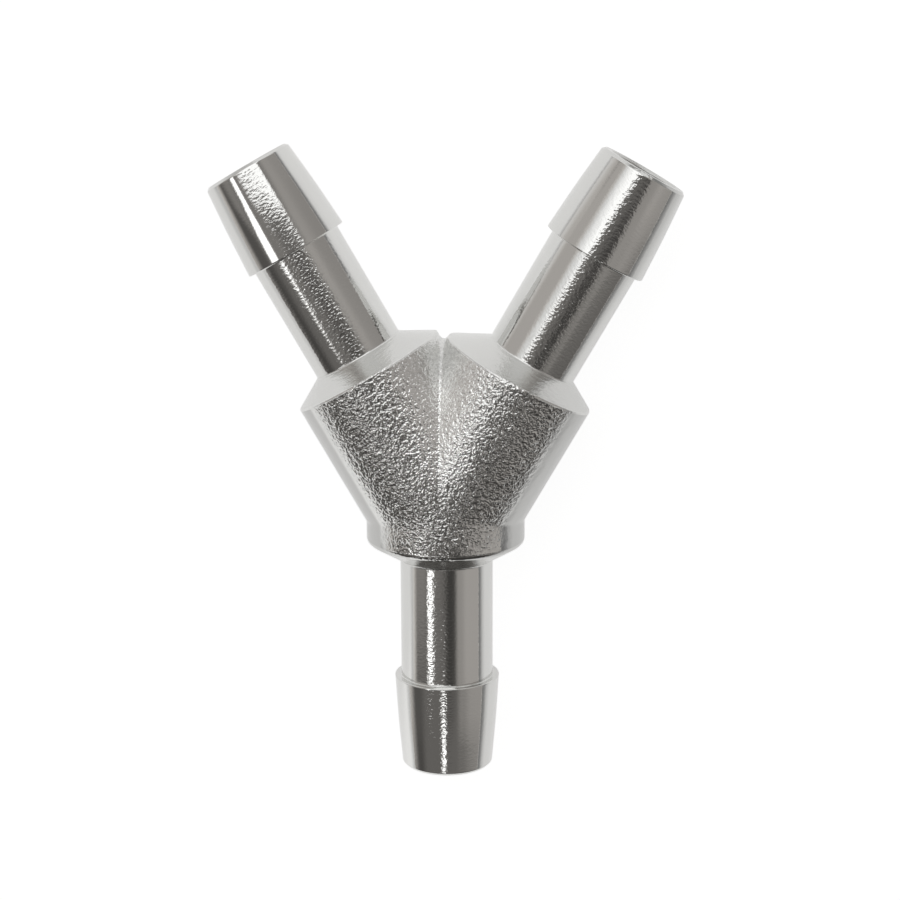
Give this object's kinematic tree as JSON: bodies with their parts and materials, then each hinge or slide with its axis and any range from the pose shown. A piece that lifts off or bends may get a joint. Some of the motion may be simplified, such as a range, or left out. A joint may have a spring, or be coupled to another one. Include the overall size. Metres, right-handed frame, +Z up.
{
  "type": "tubing y connector",
  "caption": "Cast metal Y connector that joins three soft hoses, each pushed over a single-barb tail.",
  "frame": {"origin": "centre of the footprint, on the surface that the connector lies on", "axes": "+Z up, with the axes of all three arms level; +Y towards the two upper arms; the lower arm points along -Y"},
  "size_m": [0.0394, 0.0534, 0.0132],
  "materials": {
    "cast_steel": "bright stainless: fine cast grain on the body, satin turned shoulder cones and tails"
  },
  "bodies": {
    "root": {"y_connector": "cast_steel"}
  },
  "joints": []
}
